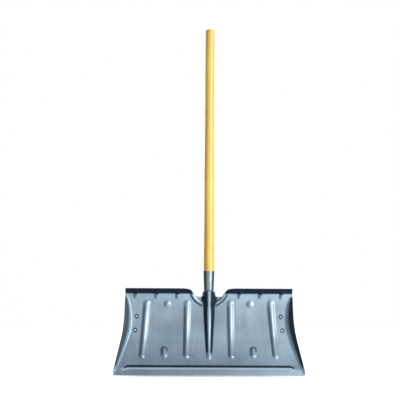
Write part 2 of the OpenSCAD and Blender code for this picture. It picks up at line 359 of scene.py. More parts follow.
def beside_long_ribs(x, s):
    """Painted shade down each long rib's left foot, fainter and thinner down its right one."""
    dark = 0 * x
    top_s, foot_s = RIB_TOP_S - 4, RIB_FOOT_S
    along = ease(foot_s - 8, foot_s + 6, s) * (1 - ease(top_s - 10, top_s + 8, s))
    right = 0.4 - 0.2 * ease(foot_s, top_s, s)
    for side in (-1, 1):
        for top_x, foot_x in LONG_RIBS:
            d = signed_side(x, s, (side * top_x, top_s), (side * foot_x, foot_s))
            feet = 0.62 * band(d + 8.0, 2.0, 4.0) + right * band(d - 9.5, 0.6, 2.6)
            dark = np.maximum(dark, feet * along)
    return dark


def round_short_ribs(x, s):
    """Painted shade over each short rib's head and down its left side."""
    dark = 0 * x
    over = ease(SHORT_FOOT_S + 2, SHORT_TOP_S - 2, s)
    down = 0.8 * ease(SHORT_FOOT_S - 8, SHORT_FOOT_S, s)
    for middle in (-SHORT_RIB_X, SHORT_RIB_X):
        d, _ = to_segment(x, s, (middle, SHORT_TOP_S), (middle, SHORT_FOOT_S))
        where = np.maximum(over, down * (x < middle))
        dark = np.maximum(dark, 0.85 * band(d - 8.5, 1.6, 3.6) * where)
    return dark


def left_of_dimples(x, s):
    # painted shade on the left of each dimple
    dark = 0 * x
    for middle in (-DIMPLE_X, DIMPLE_X):
        reach = np.hypot(x - middle, s - DIMPLE_S)
        leftward = np.clip((middle - x) / 12 + 0.25, 0, 1)
        dark = np.maximum(dark, 0.6 * band(reach - 8.5, 2.5, 3.5) * leftward)
    return dark


def beside_bead(x, s):
    """Painted shade along both feet of the bead, the outer one more."""
    ring = np.hypot(x, s - BEAD_MIDDLE_S) - BEAD_R
    feet = np.maximum(0.95 * band(ring - 6.5, 1.2, 3.0), 0.7 * band(ring + 7.0, 0.8, 2.4))
    return feet * (1 - ease(FOLD_S - 3, FOLD_S + 2, s)) * ease(17, 24, np.abs(x))


def left_of_darts(x, s):
    # painted shade on the left of each dart
    dark = 0 * x
    low = band(s - FOLD_S + 12, 5.0, 4.0)
    for dart_x in DART_X:
        for middle in (-dart_x, dart_x):
            dark = np.maximum(dark, 0.75 * band(x - middle + 5.5, 1.6, 3.0) * low)
    return dark


def beside_core(x, s, z):
    """Painted shade down both flanks of the middle rib; only its ridge is left unshaded."""
    half = 17.5 - 8.5 * core_taper(s) + 8 * ease(FOLD_Z - 46, FOLD_Z - 20, z)
    share = np.abs(x - 1.2) / half
    neck = ease(FOLD_Z - 62, FOLD_Z - 34, z)
    flanks = ease(0.14 - 0.1 * neck, 0.44 - 0.16 * neck, share) * (1 - ease(0.98, 1.22, share))
    return flanks * ease(CORE_FOOT_S + 4, CORE_FOOT_S + 22, s)


def round_holes(x, s):
    """A ring of painted shade round each punched hole, and on the right a thin run of lacquer."""
    dark = 0 * x
    for hole_x, hole_z in zip(HOLE_X, HOLE_ROWS):
        above = s - up(hole_z)
        dark = np.maximum(dark, band(np.hypot(np.abs(x) - hole_x, above * 0.75), 5.2, 2.2))
        fading = (x > hole_x) * np.exp(-np.clip(x - hole_x, 0, None) / 26)
        dark = np.maximum(dark, 0.6 * fading * band(above - 1.5, 0.4, 1.6))
    return dark


# %% The three amounts


def painted_shade_and_runs(x, s, z):
    """Painted shade in the creases, beside the features, on the flange and the lower face, and the lacquer
    runs from the holes.
    """
    # painted shade in the crease under the lip line
    lip_line = band(below_lip_line(x, s) - 1.6, 2.6, 1.8) * (1 - ease(278, 292, np.abs(x)))
    lower_face_shade = 0.15 * band(z - 82, 22, 26)  # painted shade on the lower hollow of the face
    # painted shade on the top flange
    flange = ease(FOLD_S - 6, FOLD_S + 0.5, s) * ease(24, 40, np.abs(x))
    return np.maximum.reduce([lip_line, beside_long_ribs(x, s), round_short_ribs(x, s),
                              left_of_dimples(x, s), beside_bead(x, s), left_of_darts(x, s),
                              beside_core(x, s, z), round_holes(x, s), lower_face_shade, flange])


def wear_and_painted_highlight(x, s):
    """The lip below its line: a pale band just under the line is a painted highlight, and lower down the
    lacquer is thin and pale where the lip slides on the ground.
    """
    below = below_lip_line(x, s)
    # a pale band just under the lip line: painted highlight
    strip = band(below - 11.5, 3.0, 4.5) * (1 - ease(280, 300, np.abs(x)))
    # the edge is pale from wear, and made paler to the right as painted light
    edge = (0.2 + 0.25 * np.clip(x / 300, -0.8, 1)) * ease(8, 14, below)
    return np.maximum(strip, edge)


def scuffed(x, s):
    """One patch, left of the middle and above the lip, where the lacquer is scraped."""
    d, _ = to_segment(x, s, (-122, up(62)), (-42, up(52)))
    return 1 - ease(2, 13, d)


print("holes at", HOLE_X, "mm from the middle, dark ring at the first:",
      round(float(round_holes(HOLE_X[0], up(HOLE_ROWS[0]))), 2))

# %% [markdown]
# ## The blade as one skin
#
# The skin is a grid. Its rows follow the side line and lie closer at the lip and
# the fold. Its columns spread to the fold of the cheek and then walk round it. The
# front face is copied back along its normals by the sheet's thickness, and both
# are joined round the rim, slightly drawn together there so that the cut edge is
# rounded as sheared sheet is.

# %% Rows and columns


def spaced(stops, steps):
    """Numbers from stop to stop, each stretch with its own step."""
    out = [stops[0]]
    for a, b, size in zip(stops, stops[1:], steps):
        n = max(1, round((b - a) / size))
        out += [a + (b - a) * (i + 1) / n for i in range(n)]
    return np.array(out)


rows = spaced([0, 0.6, LIP_RUN - 24, LIP_RUN + 2, FOLD_S - 34, FOLD_S - 6, FOLD_S + 7, TOP_S - 0.6, TOP_S],
              [0.6, 2.2, 0.8, 1.9, 1.4, 0.7, 1.6, 0.6])
inner = spaced([0, 0.088, 0.985], [0.0034, 0.0072])
columns = np.concatenate([-inner[:0:-1], inner])
CHEEK_COLUMNS = 22
print(f"{len(rows)} rows, {len(columns) + 2 * CHEEK_COLUMNS} columns")

# %% [markdown]
# The front face comes first. The cheek's fold is walked in small steps whose
# heading turns, so that the sheet keeps its length round the bend. Pressed heights
# are then added square to the sheet, and the darts are pushed in across the fold.

# %% The grid of the front face
DART_REACH, DART_HALF, DART_PUSH = 19.0, 8.5, 8.0
FOLD_SOFT = 9.0  # sheet used by the cheek's bend
NECK_IN, NECK_OUT = 20, 38  # between these distances from the middle the neck turns into flange


def cheek_walk(width, turn):
    """Points round the cheek's fold: sideways and forward distances, from flat to turned."""
    reach = width / np.cos(turn)
    t = (np.arange(1, CHEEK_COLUMNS + 1) / CHEEK_COLUMNS)[None, :] ** 1.15
    walked = t * (reach[:, None] + 2.0)
    heading = turn[:, None] * ease(0, FOLD_SOFT, walked)
    gaps = np.diff(walked, axis=1, prepend=0)
    return np.cumsum(np.cos(heading) * gaps, axis=1), np.cumsum(np.sin(heading) * gaps, axis=1)


def flat_layout():
    """Sideways place and forward fold of every point, rows by columns."""
    z_row = np.interp(rows, walk, line_z)
    below_fold = 1 - ease(FOLD_S - 8, FOLD_S - 1, rows)  # the flange has no cheek
    wide = np.maximum(cheek_width(z_row) * below_fold, 3.0)
    turn = CHEEK_TURN * below_fold * ease(3.0, 9.0, wide)
    out, ahead = cheek_walk(wide, turn)
    ahead *= 1 - ease(FOLD_S - 10, FOLD_S - 2, rows[:, None])
    inner_edge = half_width(z_row)[:, None] - out[:, -1:]
    x_in = columns[None, :] / columns[-1] * inner_edge
    x = np.concatenate([-(inner_edge + out)[:, ::-1], x_in, inner_edge + out], axis=1)
    forward = np.concatenate([ahead[:, ::-1], 0 * x_in, ahead], axis=1)
    return x, forward, ahead[:, -1:]


def cheek_shade(x, z, forward, most):
    """Painted shade on the cheeks where they turn forward, the right one more."""
    share = forward / np.maximum(most, 1.0)
    amount = np.where(x > 0, 0.97, 0.86)
    return amount * ease(0.1, 0.5, share) * ease(2.0, 6.0, most) * ease(14, 40, z)


def front_grid():
    """Points of the blade's front face, and the painted shade, scuffing, and wear and painted highlight at
    each.
    """
    x, forward, most = flat_layout()
    s = rows[:, None] + 0 * x
    neck = 1 - ease(NECK_IN, NECK_OUT, np.abs(x))
    y = np.interp(s, walk, line_y) * (1 - neck) + np.interp(s, walk, neck_y) * neck
    z = np.interp(s, walk, line_z) * (1 - neck) + np.interp(s, walk, neck_z) * neck
    lean = lean_at(s) * (1 - neck) + neck_lean_at(s) * neck

    rise = raised(x, s, z) * (1 - ease(6, 16, forward)) + forward
    y -= np.cos(lean) * rise
    z -= np.sin(lean) * rise
    cheek_dark = cheek_shade(x, z, forward, most)

    bisector = (FLANGE_LEAN + TOP_LEAN) / 2
    for dart_x in DART_X:
        ridge = np.clip(1 - np.abs(s - FOLD_S) / DART_REACH, 0, 1)
        push = DART_PUSH * swell(np.abs(np.abs(x) - dart_x), DART_HALF) * ridge
        y -= cos(bisector) * push
        z -= sin(bisector) * push
    # painted shade of the features and of the cheeks together
    dark = np.maximum(painted_shade_and_runs(x, s, z), cheek_dark)
    return np.stack([x, y, z], axis=-1), dark, scuffed(x, s), wear_and_painted_highlight(x, s)


front, dark_front, scuff_front, wear_and_highlight_front = front_grid()
print("front face spans", np.round(front.min((0, 1))), "to", np.round(front.max((0, 1))))

# %% [markdown]
# The back of the skin is the front moved by the sheet's thickness along its own
# normals, so the sheet is as thick on the ribs as it is between them. One function
# turns such points into an object in metres, and every piece below uses it.

# %% Thickness and rim


def face_normals(grid):
    """Unit normals of a grid of points, facing the front."""
    along_row = np.gradient(grid, axis=1)
    along_column = np.gradient(grid, axis=0)
    n = np.cross(along_row, along_column)
    n /= np.maximum(np.linalg.norm(n, axis=-1, keepdims=True), 1e-9)
    return n * np.sign(-np.median(n[..., 1]))


def skin(grid, thickness, draw):
    """A closed sheet: the grid, its copy behind, and a rim drawn in by `draw`."""
    n = face_normals(grid)
    at_rim = np.zeros(grid.shape[:2])
    at_rim[0, :] = at_rim[-1, :] = at_rim[:, 0] = at_rim[:, -1] = 1
    front_face = grid - n * (draw * at_rim)[..., None]
    back_face = grid - n * (thickness - draw * at_rim)[..., None]
    nr, nc = grid.shape[:2]
    points = np.concatenate([front_face.reshape(-1, 3), back_face.reshape(-1, 3)])
    i = np.arange(nr * nc).reshape(nr, nc)
    a, b, c, d = i[:-1, :-1], i[:-1, 1:], i[1:, 1:], i[1:, :-1]
    quads = [np.stack([a, b, c, d], -1).reshape(-1, 4)]
    back = nr * nc
    quads.append(np.stack([d, c, b, a], -1).reshape(-1, 4) + back)
    ring = np.concatenate([i[0, :], i[1:, -1], i[-1, -2::-1], i[-2:0:-1, 0]])
    after = np.roll(ring, -1)
    quads.append(np.stack([ring, ring + back, after + back, after], -1))
    return points, np.concatenate(quads)


def make_piece(name, points, faces, sharp_over=None):
    """A mesh object in metres from points in millimetres, smooth shaded."""
    mesh = bpy.data.meshes.new(name)
    mesh.from_pydata((np.asarray(points) * MM).tolist(), [], [list(map(int, f)) for f in faces])
    mesh.validate()
    bm = bmesh.new()
    bm.from_mesh(mesh)
    bmesh.ops.recalc_face_normals(bm, faces=bm.faces)
    bm.to_mesh(mesh)
    bm.free()
    mesh.shade_smooth()
    if sharp_over is not None:
        mesh.set_sharp_from_angle(angle=radians(sharp_over))
    piece = bpy.data.objects.new(name, mesh)
    bpy.context.scene.collection.objects.link(piece)
    return piece


RIM_DRAW = 0.45  # how far the two faces are drawn together at the rim
blade_points, blade_faces = skin(front, SHEET, RIM_DRAW)
blade_points[:, 2] = np.maximum(blade_points[:, 2], 0)  # the edge is ground flat
blade = make_piece("blade_pressing", blade_points, blade_faces)


# %% Keep the three amounts


def store(piece, name, values):
    """Keep one amount for every point of a mesh, for its material to read."""
    amounts = piece.data.attributes.new(name, "FLOAT", "POINT")
    amounts.data.foreach_set("value", np.asarray(values, np.float32))


for name, amount, behind in (("painted_shade_and_runs", dark_front, 0.3), ("scuffed", scuff_front, 0),
                             ("wear_and_painted_highlight", wear_and_highlight_front, 0.4)):  # with the share that the back gets
    store(blade, name, np.concatenate([amount.ravel(), behind * amount.ravel()]))
print(f"blade skin: {len(blade_points)} points, {len(blade_faces)} faces")

# %% [markdown]
# ## Cutting the notch and the tie holes
#
# The neck is freed from the flange by a notch on each side, and four small holes
# are punched for ties. Cut out of the finished skin with a boolean, their outlines
# stay crisp whatever the grid's spacing.

# %% Punches
NECK_HALF = 16.6


def punch(name, outline, near=-150, far=150):
    """A closed prism along Y over an outline of (x, z) points."""
    n = len(outline)
    points = [(x, AXIS_Y + y, z) for y in (near, far) for x, z in outline]
    faces = [list(range(n))[::-1], list(range(n, 2 * n))]
    faces += [[i, (i + 1) % n, n + (i + 1) % n, n + i] for i in range(n)]
    return make_piece(name, points, faces)


def notch_outline():
    """One outline for both notches, which also trims the top of the neck between them."""
    neck_top = [(NECK_HALF - 1.5, NECK_TOP_Z), (NECK_HALF, NECK_TOP_Z - 1.5)]
    ears = [(NECK_HALF + out, NOTCH_FLOOR + up_by) for out, up_by in ((3.6, 7), (5.4, 2.5), (8, 0))]
    sides = [(x, z + NOTCH_FLOOR) for x, z in NOTCH_SIDE] + [(NOTCH_SIDE[-1][0], FOLD_Z + 60)]
    half = neck_top + ears + sides
    return half + [(-x, z) for x, z in reversed(half)]


def round_hole(x, z, r, points=28):
    return [(x + r * cos(2 * pi * i / points), z + r * sin(2 * pi * i / points)) for i in range(points)]


punches = [punch("punch_notch", notch_outline())]
for side in (-1, 1):
    for hole_x, z in zip(HOLE_X, HOLE_ROWS):
        punches.append(punch("punch_hole", round_hole(side * hole_x, z, HOLE_R)))


def cut(piece, tools):
    """Take the tools away from the piece, then remove the tools."""
    for tool in tools:
        taken = piece.modifiers.new("punch", "BOOLEAN")
        taken.operation, taken.solver, taken.object = "DIFFERENCE", "MANIFOLD", tool
        depsgraph = bpy.context.evaluated_depsgraph_get()
        done = bpy.data.meshes.new_from_object(piece.evaluated_get(depsgraph))
        piece.modifiers.clear()
        piece.data = done
        bpy.data.objects.remove(tool)
    piece.data.shade_smooth()
    piece.data.set_sharp_from_angle(angle=radians(48))


cut(blade, punches)
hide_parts("blade")
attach(blade, "root")
print(f"blade after punching: {len(blade.data.vertices)} points,",
      "attributes", [a.name for a in blade.data.attributes][:6])

# %% [markdown]
# ## The socket
#
# The socket is a strip rolled into a tapering tube, so it is open down the back
# and its rim has a slightly broken edge. It is swept here as a wall: an outside and
# an inside ring at each height, left open along the seam.

# %% Roll the socket
SEAM_HALF = 1.0
AROUND = 72


def rolled_tube(heights, outer, wall, seam_half):
    """A tube open along its back: points and faces of a closed wall."""
    points, faces = [], []
    for z, r in zip(heights, outer):
        gap = seam_half / r
        for ring_r in (r, r - wall):
            for i in range(AROUND + 1):
                a = pi / 2 + gap + (2 * pi - 2 * gap) * i / AROUND
                points.append((ring_r * cos(a), AXIS_Y + ring_r * sin(a), z))
    ring = AROUND + 1
    level = 2 * ring
    for k in range(len(heights) - 1):
        at, above = k * level, (k + 1) * level
        for i in range(AROUND):
            faces.append((at + i, at + i + 1, above + i + 1, above + i))
            faces.append((at + ring + i + 1, at + ring + i, above + ring + i, above + ring + i + 1))
        for i, flip in ((0, 1), (AROUND, -1)):
            faces.append([at + i, above + i, above + ring + i, at + ring + i][::flip])
    last = (len(heights) - 1) * level
    for i in range(AROUND):
        faces.append((i + 1, i, ring + i, ring + i + 1))
        faces.append((last + i, last + i + 1, last + ring + i + 1, last + ring + i))
    return points, faces


levels = np.concatenate([np.linspace(SOCKET_END_Z, RIM_Z - 4, 50), np.linspace(RIM_Z - 3.2, RIM_Z, 6)])
profile = socket_r(levels) - 0.35 * (1 - ease(0, 1.2, RIM_Z - levels))  # broken edge at the rim
socket = make_piece("socket_tube", *rolled_tube(levels, profile, SHEET, SEAM_HALF), sharp_over=50)


def dent(piece, z, deep, wide):
    """Push the front of a tube in round the nail, as a punch does."""
    for v in piece.data.vertices:
        x, y, h = v.co[0] / MM, v.co[1] / MM - AXIS_Y, v.co[2] / MM
        if y < 0:
            v.co.y += MM * deep * float(swell(hypot(x, h - z), wide))


NAIL_Z = (nail_low[2] + nail_high[2]) / 2
dent(socket, NAIL_Z, 0.5, 7.0)
LIT_STRIPE_X = 0.6  # the lit stripe left between the painted shade on the sides is a little right of the middle
sideways = [abs(v.co.x / MM - LIT_STRIPE_X) / socket_r(v.co.z / MM) for v in socket.data.vertices]
# painted shade down both sides of the tube, leaving a lit stripe down the front
store(socket, "painted_shade_and_runs", 0.92 * ease(0.16, 0.78, np.array(sideways)))
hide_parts("socket")
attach(socket, "root")
print("socket:", len(socket.data.vertices), "points, nail at z =", round(NAIL_Z))

# %% [markdown]
# ## The pole
#
# The pole is turned from straight-grained wood. A lathe leaves it almost true, so
# the mesh is a turned profile with a slight bow, faint swellings part way up and a
# rounded end. Rings of points at each height are joined in order, which is also how
# the weld beads and the nail are made, so the joining is a helper.

# %% Turn the pole
GRIP_R = 14.9
FOOT_R = (handle_high[0] - handle_low[0]) / 2
GRIP_LOW_Z = handle_high[2] - 280
TIP_ROUND = 8
POLE_AROUND = 48
TENON_R = SOCKET_RIM_R - SHEET - 0.1
TENON_TAPER = 0.024  # less radius for each millimetre down


def pole_radius(z):
    share = np.clip((z - RIM_Z) / (GRIP_LOW_Z - RIM_Z), 0, 1)
    r = FOOT_R + (GRIP_R - FOOT_R) * share ** 0.85
    r -= 0.22 * (1 + np.sin(z / 61.0)) * ease(RIM_Z + 20, RIM_Z + 90, z)
    return r - 0.15


def pole_middle(z):
    """The pole's slight bow, nothing at the socket."""
    t = np.clip((z - RIM_Z) / (handle_high[2] - RIM_Z), 0, 1)
    return -1.2 * np.sin(pi * t) * t


def joined(rings, around):
    """Faces between rings of points laid one after another, with a cap at each end."""
    faces = []
    for k in range(rings - 1):
        for i in range(around):
            j = (i + 1) % around
            faces.append((k * around + i, k * around + j, (k + 1) * around + j, (k + 1) * around + i))
    faces.append(list(range(around))[::-1])
    faces.append([(rings - 1) * around + i for i in range(around)])
    return faces


def circle(around):
    """Cosines and sines of the points round a ring."""
    return [(cos(2 * pi * i / around), sin(2 * pi * i / around)) for i in range(around)]


def turned(name, rings, around):
    """A closed turned piece from (z, radius, sideways offset) rings."""
    points = [(off + r * c, AXIS_Y + r * d, z) for z, r, off in rings for c, d in circle(around)]
    return make_piece(name, points, joined(len(rings), around), sharp_over=60)


rings = [(z, TENON_R - (RIM_Z - z) * TENON_TAPER, 0) for z in np.linspace(handle_low[2], RIM_Z + 0.4, 8)]
rings += [(RIM_Z + 0.6, FOOT_R - 1.6, 0), (RIM_Z + 1.6, FOOT_R - 0.6, 0)]
rings += [(z, float(pole_radius(z)), float(pole_middle(z)))
          for z in np.linspace(RIM_Z + 3, handle_high[2] - TIP_ROUND, 120)]
tip_r, tip_z = rings[-1][1], rings[-1][0]
for k in range(1, 11):
    a = pi / 2 * k / 10
    rings.append((tip_z + TIP_ROUND * sin(a), tip_r - TIP_ROUND * (1 - cos(a)), 0))
pole = turned("handle_pole", rings, POLE_AROUND)
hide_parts("handle")
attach(pole, "root")
print("pole:", len(rings), "rings, tip at z =", round(rings[-1][0]), "mm")

# %% [markdown]
# ## Nail and welds
#
# The nail's head is a shallow dome. A hand-laid weld is a row of overlapping
# puddles, so each bead is swept as a tube whose radius swells once per puddle.

# %% Beads and the nail head
chance = Random(11)


def bead_run(name, path, r, puddle=2.6, around=14):
    """A lumpy closed tube along a path of (x, y, z) points."""
    path = [Vector(p) for p in path]
    points, walked = [], 0.0
    for k, p in enumerate(path):
        ahead = path[min(k + 1, len(path) - 1)] - path[max(k - 1, 0)]
        ahead.normalize()
        side = ahead.cross(Vector((0, 1, 0.2))).normalized()
        over = side.cross(ahead).normalized()
        walked += 0 if k == 0 else (p - path[k - 1]).length
        end = min(1.0, min(k, len(path) - 1 - k) / 4)
        lump = (1 + 0.13 * cos(2 * pi * walked / puddle)) * (1 + chance.uniform(-0.04, 0.04))
        here = r * (0.45 + 0.55 * end ** 0.5) * lump
        points += [tuple(p + side * here * c + over * here * d) for c, d in circle(around)]
    return make_piece(name, points, joined(len(path), around))


def weld(name, node, path, r):
    bead = bead_run(name, path, r)
    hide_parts(node)
    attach(bead, "root")
    return bead


MOUTH_R, EAR_R, REAR_R = 1.9, 3.3, 2.6  # radii of the beads
mouth_r = socket_r(NECK_TOP_Z) + 0.9
mouth_path = [(mouth_r * sin(a), AXIS_Y - mouth_r * cos(a), NECK_TOP_Z + 1.0)
              for a in np.linspace(-1.1, 1.1, 40)]
welds = [weld("weld_mouth_bead", "weld_mouth", mouth_path, MOUTH_R)]
for side, name in ((-1, "left"), (1, "right")):
    ear = [(side * (20.2 - 4.4 * t), AXIS_Y - 6.6 - 1.4 * t, NOTCH_FLOOR + 2.4 + 15.5 * t)
           for t in np.linspace(0, 1, 24)]
    welds.append(weld(f"weld_ear_{name}_bead", f"weld_ear_{name}", ear, EAR_R))
    low, high = span(f"weld_rear_{name}")
    x = side * (socket_r((low[2] + high[2]) / 2) + 1.0)
    run = [(x, AXIS_Y + 1.0, z) for z in np.linspace(low[2] + 1, high[2] - 1, 40)]
    welds.append(weld(f"weld_rear_{name}_bead", f"weld_rear_{name}", run, REAR_R))


def nail_head():
    """Dome and shank, pointing back along Y."""
    front_y = nail_low[1]
    head_r, shank_r, around = 4.0, 1.5, 28
    rings = [(0.02, 0.0)] + [(head_r * sin(a), 1.25 * (1 - cos(a))) for a in np.linspace(0.2, 1.25, 9)]
    rings += [(head_r * 0.97, 1.5), (shank_r, 1.7), (shank_r, nail_high[1] - front_y)]
    points = [(r * c, front_y + back, NAIL_Z + r * d) for r, back in rings for c, d in circle(around)]
    return make_piece("nail", points, joined(len(rings), around), sharp_over=40)


nail = nail_head()
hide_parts("retaining_nail")
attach(nail, "root")
print("weld beads:", len(welds))

# %% [markdown]
# ## Effects that the finishes share
#
# Sheet, tube and weld metal all age the same way: the colour drifts in soft clouds,
# runs of lacquer dry as faint upright streaks, and specks are knocked off. Each
# effect is a node group, built once, and every material sets its own amounts.

# %% Node helpers


def group(name, inputs, masks):
    """An empty node group: inputs with their plain values, None for a vector, and outputs."""
    tree = bpy.data.node_groups.new(name, "ShaderNodeTree")
    for label, value in inputs.items():
        kind = "NodeSocketVector" if value is None else "NodeSocketFloat"
        made = tree.interface.new_socket(label, in_out="INPUT", socket_type=kind)
        if value is not None:
            made.default_value = value
    for label in masks:
        tree.interface.new_socket(label, in_out="OUTPUT", socket_type="NodeSocketFloat")
    return tree, tree.nodes.new("NodeGroupInput"), tree.nodes.new("NodeGroupOutput")


def give(tree, socket, value):
    """Link a socket to another node's output, or set its plain value."""
    if isinstance(value, bpy.types.NodeSocket):
        tree.links.new(value, socket)
    else:
        socket.default_value = value


def node(tree, kind, settings=None, **inputs):
    """Add a node, set its properties, and give its inputs by name, or by number as i0, i1."""
    made = tree.nodes.new(kind)
    for key, value in (settings or {}).items():
        setattr(made, key, value)
    for label, value in inputs.items():
        numbered = label[0] == "i" and label[1:].isdigit()
        give(tree, made.inputs[int(label[1:]) if numbered else label.replace("_", " ")], value)
    return made


def noise(tree, place, scale, detail=4.0, rough=0.55):
    made = node(tree, "ShaderNodeTexNoise", None, Vector=place, Scale=scale, Detail=detail, Roughness=rough)
    return made.outputs["Fac"]


def between(tree, value, low, high, to_low=0.0, to_high=1.0, shape="LINEAR"):
    """Map a value from one range to another, clamped."""
    return node(tree, "ShaderNodeMapRange", {"interpolation_type": shape}, Value=value, From_Min=low,
                From_Max=high, To_Min=to_low, To_Max=to_high).outputs["Result"]


def stretched(tree, place, factors):
    return node(tree, "ShaderNodeVectorMath", {"operation": "MULTIPLY"}, i0=place, i1=factors).outputs[0]


def combine(tree, operation, a, b):
    """One sum, product or comparison of two values."""
    return node(tree, "ShaderNodeMath", {"operation": operation}, i0=a, i1=b).outputs[0]


def times(tree, a, b):
    return combine(tree, "MULTIPLY", a, b)


def mixed(tree, factor, a, b):
    """Mix two colours."""
    return node(tree, "ShaderNodeMix", {"data_type": "RGBA"}, i0=factor, i6=a, i7=b).outputs[2]


def amount_of(tree, name):
    """An amount kept at the points of a mesh; 0 on a mesh that has none."""
    return node(tree, "ShaderNodeAttribute", {"attribute_name": name}).outputs["Fac"]


# %% [markdown]
# The first group gives masks of drift in the lacquer. The second gives chips, in
# patches, and thin scratches. The third finds corners that stick out, where the
# lacquer is rubbed, and hollows, where shade is painted, by how sharply the surface bends.

# %% Clouds and streaks in lacquer


def build_lacquer_drift():
    """Soft clouds, upright streaks and fine grit."""
    tree, given, out = group("lacquer_drift", {"Place": None, "Cloud Scale": 7.0, "Streak Scale": 60.0},
                             ("Clouds", "Streaks", "Grit"))
    place = given.outputs["Place"]
    clouds = noise(tree, place, given.outputs["Cloud Scale"], 5.0, 0.6)
    tall = stretched(tree, place, (1.0, 0.3, 0.06))
    streaks = noise(tree, tall, given.outputs["Streak Scale"], 3.0, 0.5)
    grit = noise(tree, place, 900.0, 2.0, 0.5)
    for label, value in (("Clouds", clouds), ("Streaks", streaks), ("Grit", grit)):
        tree.links.new(value, out.inputs[label])
    return tree


lacquer_drift = build_lacquer_drift()


def build_chips():
    """Small specks where the lacquer is knocked off, and fine scratches."""
    tree, given, out = group("chips_and_scratches",
                             {"Place": None, "Chip Scale": 160.0, "Chip Amount": 0.1}, ("Chips", "Scratches"))
    place = given.outputs["Place"]
    patch = between(tree, noise(tree, place, 9.0, 2.0), 0.52, 0.7)
    cells = node(tree, "ShaderNodeTexVoronoi", {"feature": "F1"}, Vector=place,
                 Scale=given.outputs["Chip Scale"])
    spot = between(tree, cells.outputs["Distance"], given.outputs["Chip Amount"], 0.0)
    tree.links.new(times(tree, spot, patch), out.inputs["Chips"])
    fine = noise(tree, stretched(tree, place, (40.0, 40.0, 900.0)), 1.0, 2.0)
    tree.links.new(between(tree, fine, 0.64, 0.72), out.inputs["Scratches"])
    return tree


chips_and_scratches = build_chips()


def build_edge_rub():
    """Where a corner sticks out, handling thins the lacquer; hollows are marked for painted shade."""
    tree, given, out = group("rub_and_hollow_shade", {"Start": 0.52, "Full": 0.6}, ("Rub", "Hollow Shade"))
    form = tree.nodes.new("ShaderNodeNewGeometry").outputs["Pointiness"]
    tree.links.new(between(tree, form, given.outputs["Start"], given.outputs["Full"]), out.inputs["Rub"])
    tree.links.new(between(tree, form, 0.5, 0.44), out.inputs["Hollow Shade"])
    return tree


rub_and_hollow_shade = build_edge_rub()
print("shared effects:", lacquer_drift.name, chips_and_scratches.name, rub_and_hollow_shade.name)

# %% [markdown]
# ## Blue-grey lacquer
#
# The blade and socket are dipped in a thin metallic blue-grey lacquer. It is a
# metal look with a satin top: half metallic and fairly smooth. Where shade is
# painted in, and along the lacquer runs at the holes, the colour is nearly black,
# with no metal shine left, and hollows get a little painted shade too. It is paler
# in streaks, on rubbed corners, at chips, and on the lip, where the ground wears it
# and a painted highlight lies under the line.
# One function with amounts makes all four of the finishes that age this way.

# %% The lacquers


def start_material(name):
    material = bpy.data.materials.new(name)
    material.use_nodes = True
    tree = material.node_tree
    shader = tree.nodes["Principled BSDF"]
    place = tree.nodes.new("ShaderNodeTexCoord").outputs["Object"]
    return material, tree, shader, place


def use(tree, shared, **inputs):
    """Place a shared group in a material."""
    made = tree.nodes.new("ShaderNodeGroup")
    made.node_tree = shared
    for label, value in inputs.items():
        give(tree, made.inputs[label.replace("_", " ")], value)
    return made.outputs


def bump(tree, height, strength, distance, normal=None):
    made = node(tree, "ShaderNodeBump", None, Height=height, Strength=strength, Distance=distance)
    if normal is not None:
        tree.links.new(normal, made.inputs["Normal"])
    return made.outputs["Normal"]


def coat(piece, material):
    """Put one material on a piece, in place of any it has."""
    piece.data.materials.clear()
    piece.data.materials.append(material)


# %% Lacquered steel
FRESH_SHARE = 0.7  # of the full tone, in the darker clouds
WEAR_AND_HIGHLIGHT_GAIN = 1.35  # lacquer thinned by wear, and the painted highlight on the lip, are this much brighter than the pale tone


def lacquer_colour(tree, place, tone, pale, dark, chip):
    """Colour and gloss marks of the lacquer, before the painted shade is laid on."""
    drift = use(tree, lacquer_drift, Place=place)
    marks = use(tree, chips_and_scratches, Place=place, Chip_Amount=chip)
    rub_and_shade = use(tree, rub_and_hollow_shade)
    wear_and_highlight_tone = (*(min(1.0, WEAR_AND_HIGHLIGHT_GAIN * v) for v in pale[:3]), 1)
    clouded = between(tree, drift["Clouds"], 0.35, 0.7)
    colour = mixed(tree, clouded, mixed(tree, FRESH_SHARE, dark, tone), tone)
    strokes = between(tree, noise(tree, stretched(tree, place, (1.0, 1.0, 2.6)), 95.0, 4.0, 0.7), 0.55, 0.66)
    layers = [(between(tree, drift["Streaks"], 0.5, 0.75, 0.0, 0.18), pale),
              # painted shade in hollows
              (times(tree, rub_and_shade["Hollow Shade"], 0.35), dark),
              (times(tree, rub_and_shade["Rub"], 0.5), pale),
              (times(tree, marks["Chips"], 0.7), pale),
              # wear on the lip, with its painted highlight and painted light
              (times(tree, amount_of(tree, "wear_and_painted_highlight"), 0.9), wear_and_highlight_tone),
              (times(tree, times(tree, amount_of(tree, "scuffed"), strokes), 0.85), pale)]
    for amount, over in layers:
        colour = mixed(tree, amount, colour, over)
    return colour, drift, marks


